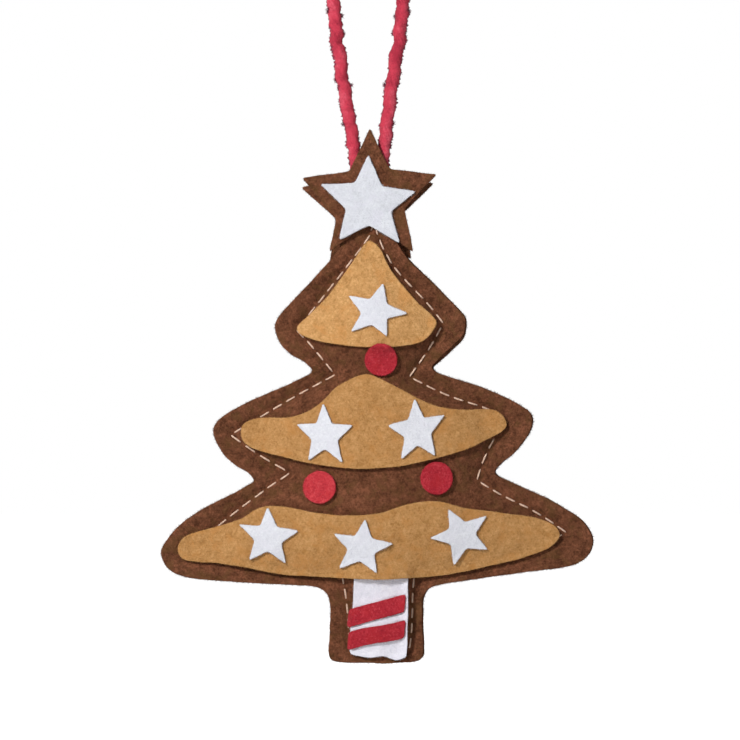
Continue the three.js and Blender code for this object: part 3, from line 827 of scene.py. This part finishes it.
def swell(piece, crown, side):
    # The stuffing pushes the felt out inside the seam. Outside it the two panels stay together.
    mesh = piece.data
    held = [vert.index for vert in mesh.vertices if not isWithin(seam, vert.co.x, vert.co.z)]
    blowUp(piece, held)
    rise = [max(0, side * vert.co.y) for vert in mesh.vertices]
    beside, sewn = neighbours(mesh), set(held)
    for _ in range(body["evenRounds"]):  # takes out what buckled inwards
        rise = [0 if index in sewn else
                0.5 * rise[index] + 0.5 * sum(rise[other] for other in near) / len(near)
                for index, near in enumerate(beside)]
    highest = max(rise)
    print("stuffed", piece.name, "raw rise mm", round(highest / mm, 2))
    for vert, height in zip(mesh.vertices, rise):
        away = 0 if height > 0 else seamTree.find((vert.co.x, vert.co.z, 0))[2]
        pressed = eased((body["peakTop"] - vert.co.z) / body["peakReach"])  # the stars hold the peak shut
        opened = body["splay"] * eased(away / body["splayReach"]) * pressed
        vert.co.y = side * (crown * (height / highest) ** body["steepness"] + body["seamGap"] + opened)
    mesh.update()


def stitchHoles():
    # Needle holes along the seam, with one at each corner where the cloth was turned
    corners = [index for index in range(len(seam)) if abs(turnAt(seam, index)) > body["cornerTurn"]]
    holes = []
    for place, corner in enumerate(corners):
        last = corners[(place + 1) % len(corners)]
        stretch = [seam[corner]]
        index = corner
        while index != last or len(stretch) == 1:
            index = (index + 1) % len(seam)
            stretch.append(seam[index])
        line = curveThrough(stretch, body["holeStep"])
        total = sum((b - a).length for a, b in zip(line, line[1:]))
        count = max(1, round(total / body["stitch"]))
        run, number = 0, 0
        for a, b in zip(line, line[1:]):
            if number < count and run >= total * number / count - 1e-9:
                holes.append(a.copy())
                number += 1
            run += (b - a).length
    return holes


holes = stitchHoles()
print("seam of", len(holes), "stitches")
seamTree = treeOf(curveThrough(seam, body["seamStep"], closed=True, isSharp=[True] * len(seam)))
holeTree = treeOf(holes)


def pullIn(piece, side):
    # The thread draws the felt in along the seam, most at the needle holes
    facing = [vert.normal.y * side for vert in piece.data.vertices]
    for vert, outward in zip(piece.data.vertices, facing):
        if outward < body["leastFacing"]:
            continue
        place = (vert.co.x, vert.co.z, 0)
        away = seamTree.find(place)[2]
        groove = body["grooveDepth"] * (1 - eased(away / body["grooveReach"]))
        dimple = body["dimpleDepth"] * (1 - eased(holeTree.find(place)[2] / body["dimpleReach"]))
        vert.co.y -= side * (groove + dimple)
    piece.data.update()


def makePanel(node, side, crown):
    look = feltLooks["brown"]
    outline = snipped(node, scissorLine(cutLine(node), body["step"] / 2))
    piece = flatPattern(node + "_felt", outline, body["step"], look, side)
    swell(piece, crown, side)
    editAll(piece)
    bpy.ops.mesh.subdivide(number_cuts=1, smoothness=body["roundness"])
    bpy.ops.object.mode_set(mode="OBJECT")
    thicken(piece, body["thickness"], body["softEdge"], side)
    pullIn(piece, side)
    roughen(piece, body["rough"], body["roughSize"])
    settle(piece, node)
    fuzz = feltFuzz(piece, outline, look, body["fuzz"], body["fuzzLength"])
    return piece, outline, fuzz


laid = dict(front_panel=makePanel("front_panel", front, body["frontCrown"]),
            back_panel=makePanel("back_panel", back, body["backCrown"]))
surfaces = {node: surfaceOf(piece) for node, (piece, _, _) in laid.items()}
panelSurface = {front: surfaces["front_panel"], back: surfaces["back_panel"]}
print("panels stuffed")

fill = dict(outlineStep=1 * mm, step=1.6 * mm, start=0.1 * mm, least=0.05 * mm, room=0.25 * mm,
            lump=0.25 * mm, lumpSize=3 * mm, edgeShare=0.1, edgeReach=2 * mm)


def makeStuffing():
    # Fibre between the panels, a little clear of both, with a lumpy surface
    outline = scissorLine(cutLine("stuffing"), fill["outlineStep"])
    look = feltLook("fibre_fill", (225, 222, 214), (240, 238, 232), (250, 249, 245),
                    drift=(242, 238, 230), fleck=(255, 255, 255), cloudSize=6 * mm, cloudShare=0.6,
                    fleckShare=0.3, sheen=0.3, sheenTint=(255, 255, 255))
    piece = flatPattern("stuffing_fibre", outline, fill["step"], look)
    finishWith(piece, "SOLIDIFY", thickness=fill["start"], offset=0)
    edge = treeOf(outline)
    for vert in piece.data.vertices:
        side = front if vert.co.y < 0 else back
        inner = heightInside(vert.co.x, vert.co.z, side)
        away = edge.find((vert.co.x, vert.co.z, 0))[2]
        lump = fill["lump"] * (1 + grainAt(vert.co, fill["lumpSize"], side))
        full = (inner - fill["room"] - lump) * eased(fill["edgeShare"] + away / fill["edgeReach"])
        vert.co.y = side * max(fill["least"], full)
    piece.data.update()
    settle(piece, "stuffing")


def heightInside(x, z, side):
    # The panel's inner face, seen from the seam's plane
    hit = panelSurface[side].ray_cast(Vector((x, 0, z)), Vector((0, side, 0)))[0]
    return side * hit.y if hit else 0


makeStuffing()
print("stuffing made")

# The glued pieces, from the lowest layer to the highest

trims = dict(step=0.55 * mm, fineStep=0.45 * mm, trim=1 * mm, stripe=0.5 * mm, star=0.6 * mm,
             softEdge=0.18 * mm, rough=0.035 * mm, roughSize=1.6 * mm, fuzzLength=0.32 * mm)
peak = dict(yarnRoom=1.45 * mm, thickness=0.95 * mm, whiteThickness=0.7 * mm)


def layFelt(node, colour, thickness, under, lift, side=front, lowest=0, rounds=24, liftReach=3 * mm,
            liftWay=felt["liftWay"], fuzz=250, step=trims["step"], sharpTurn=felt["sharpTurn"], look=None):
    look = feltLooks[look or colour]
    outline = snipped(node, scissorLine(cutLine(node), step, sharpTurn))
    piece = flatPattern(node + "_felt", outline, step, look, side)
    drape(piece, outline, [surfaces[name] for name in under], side, lowest, rounds, lift, liftReach,
          liftWay)
    thicken(piece, thickness, trims["softEdge"], side)
    roughen(piece, trims["rough"], trims["roughSize"])
    settle(piece, node)
    surfaces[node] = surfaceOf(piece)
    hairs = feltFuzz(piece, outline, look, fuzz, trims["fuzzLength"])
    laid[node] = piece, outline, hairs


# The patch takes the paler copy of white felt, a painted light
layFelt("trunk_patch", "white", trims["trim"], ["front_panel"], lift=1 * mm,
        liftWay=felt["patchLiftWay"], fuzz=300, look="whitePaintedLight")
for node in ("stripe_upper", "stripe_lower"):
    layFelt(node, "red", trims["stripe"], ["trunk_patch", "front_panel"], rounds=4, lift=0.05 * mm,
            fuzz=200)
for node, under, look, lift, fuzz in (
        ("tier_top", ["front_panel"], "paleTan", 0.5 * mm, 600),
        ("tier_middle", ["front_panel"], "tan", 0.5 * mm, 900),
        ("tier_bottom", ["front_panel", "trunk_patch"], "tan", 0.22 * mm, 1200)):
    layFelt(node, "tan", trims["trim"], under, lift=lift, liftReach=5 * mm, fuzz=fuzz, look=look)
print("tiers laid")
for node, tier in (("star_top", "tier_top"), ("star_middle_left", "tier_middle"),
                   ("star_middle_right", "tier_middle"), ("star_bottom_left", "tier_bottom"),
                   ("star_bottom_centre", "tier_bottom"), ("star_bottom_right", "tier_bottom")):
    layFelt(node, "white", trims["star"], [tier], rounds=6, lift=0.05 * mm, step=trims["fineStep"],
            sharpTurn=felt["starTurn"])
allTiers = ["front_panel", "tier_top", "tier_middle", "tier_bottom"]
# The left dot takes the paler copy of red felt, a painted light
for node, look in (("dot_top", "red"), ("dot_left", "redPaintedLight"), ("dot_right", "red")):
    layFelt(node, "red", trims["trim"], allTiers, lift=0.1 * mm, step=trims["fineStep"], look=look)
print("stars and dots laid")
atPeak = dict(lowest=peak["yarnRoom"], rounds=8, lift=0.1 * mm, fuzz=700, sharpTurn=felt["starTurn"])
layFelt("star_front", "brown", peak["thickness"], ["front_panel", "tier_top"], **atPeak)
layFelt("star_back", "brown", peak["thickness"], ["back_panel"], side=back, **atPeak)
# The big white star takes the duller copy of white felt, a painted shade
layFelt("star_white", "white", peak["whiteThickness"], ["star_front", "tier_top"], lift=0.05 * mm,
        fuzz=400, sharpTurn=felt["starTurn"], look="whitePaintedShade")
print("stars at the peak laid")

# What lies on what, as tables. The loop below works out each sheet's flat area and keeps nothing

passengers = dict(front_panel=("dot_top", "dot_left", "dot_right"),
                  trunk_patch=("stripe_upper", "stripe_lower"))
carriers = dict(
    front_panel="stuffing_fibre", back_panel="stuffing_fibre", trunk_patch="front_panel_felt",
    tier_top="front_panel_felt", tier_middle="front_panel_felt", tier_bottom="front_panel_felt",
    star_top="tier_top_felt", star_middle_left="tier_middle_felt", star_middle_right="tier_middle_felt",
    star_bottom_left="tier_bottom_felt", star_bottom_centre="tier_bottom_felt",
    star_bottom_right="tier_bottom_felt", star_front="front_panel_felt", star_back="back_panel_felt",
    star_white="star_front_felt",
)
for node, carrier in carriers.items():
    piece, outline, hairs = laid[node]
    small = [part for other in passengers.get(node, ()) for part in (laid[other][0], laid[other][2])]
    areaOf(outline)
    [hairs] + small

# The seam's threads: one in front and one behind, each going down at every needle hole

thread = dict(
    radius=0.19 * mm, step=0.22 * mm, sides=8, skew=0.12 * mm, skewSize=2 * mm,
    # A stitch's share of the way to the next hole, and its height over the felt there
    profile=((0, -0.8 * mm), (0.05, -0.2 * mm), (0.13, 0.06 * mm), (0.25, 0.1 * mm),
             (0.5, 0.1 * mm), (0.6, 0.06 * mm), (0.68, -0.2 * mm), (0.8, -0.8 * mm)),
    plySize=0.2 * mm, plyTurn=0.7, plyStretch=3, plyRamp=(0.35, 0.65),
    dark=paint(206, 170, 146), light=paint(236, 206, 184),
    bumpDistance=0.1 * mm, bump=0.7, roughness=0.75, sheen=0.2,
)


def threadLook():
    look = Look("cream_thread")
    lying = look.stretched(look.place(), (0, thread["plyTurn"], 0), (1, 1, thread["plyStretch"]))
    plies = look.noise(lying, thread["plySize"])
    shade = look.mix(plies.ramp(*thread["plyRamp"]), thread["dark"], thread["light"])
    return look.setShader({
        "Base Color": shade,
        "Normal": look.bump(plies, thread["bumpDistance"], thread["bump"]),
        "Roughness": thread["roughness"], "Sheen Weight": thread["sheen"],
    })


def sewThread(name, side, look):
    marks = []
    for index, hole in enumerate(holes):
        after = holes[(index + 1) % len(holes)]
        skew = thread["skew"] * grainAt((hole.x, 0, hole.y), thread["skewSize"], side)
        along = (after - hole).normalized()
        for share, off in thread["profile"]:
            spot = hole.lerp(after, share)
            spot += Vector((along.y, -along.x)) * skew * math.sin(math.pi * share)
            level = heightOver(spot.x, spot.y, [panelSurface[side]], side, 0)
            marks.append(Vector((spot.x, side * (level + off), spot.y)))
    line = curveThrough(marks, thread["step"], closed=True)
    piece, _ = tube(name, line, lambda along, angle: thread["radius"], thread["sides"], look, closed=True)
    shadeSoft(piece)
    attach(piece, "ornament")


creamThread = threadLook()
sewThread("needle_thread", front, creamThread)
sewThread("bobbin_thread", back, creamThread)
print("seam sewn")

# Floor, lamps and a white background

room = dict(floorHeight=-0.27, floorSize=6, floorColour=(0.8, 0.8, 0.8, 1), floorRoughness=0.9,
            whiteShare=0.8, daylight=0.22)
white = (1, 1, 1, 1)
bpy.context.scene.view_settings.view_transform = "Standard"
bpy.ops.mesh.primitive_plane_add(size=room["floorSize"], location=(0, 0, room["floorHeight"]))
floor = bpy.context.object
floor.name = "floor"
paper = Look("floor_paper")
paper.setShader({"Base Color": room["floorColour"], "Roughness": room["floorRoughness"]})
seen, glossy, through = paper.plainRays()
glow = paper.node("ShaderNodeEmission", {}, {"Color": white, "Strength": 1 / room["whiteShare"]})
paper.feed(paper.tree.nodes["Material Output"].inputs["Surface"],
           paper.node("ShaderNodeMixShader", {}, {0: (seen + glossy + through) * room["whiteShare"],
                                                  1: Wire(paper, paper.shader.outputs[0]), 2: glow}))
floor.data.materials.append(paper.material)

world = bpy.data.worlds.new("studio")
bpy.context.scene.world = world
world.use_nodes = True
sky = Nodes(world.node_tree)
seen, glossy, through = sky.plainRays()
plain = seen.math("MAXIMUM", seen, glossy.math("MAXIMUM", glossy, through))
strength = sky.node("ShaderNodeMapRange", {}, {0: plain, 3: room["daylight"], 4: 1})
background = sky.tree.nodes["Background"].inputs
sky.feed(background["Color"], white)
sky.feed(background["Strength"], strength)

lamps = dict(
    key=dict(place=(-0.253, -0.435, 0.09), size=0.09, power=2.6),
    fill=dict(place=(0.9, -0.9, 0.1), size=0.9, power=1.3),
    rear=dict(place=(-0.25, 1.3, 0), size=0.8, power=9),
)
target = Vector((0, 0, -0.13))
for name, lamp in lamps.items():
    bpy.ops.object.light_add(type="AREA", location=lamp["place"])
    made = bpy.context.object
    made.name = name + "_lamp"
    made.data.size = lamp["size"]
    made.data.energy = lamp["power"]
    made.rotation_euler = (target - Vector(lamp["place"])).to_track_quat("-Z", "Y").to_euler()
print("lit")
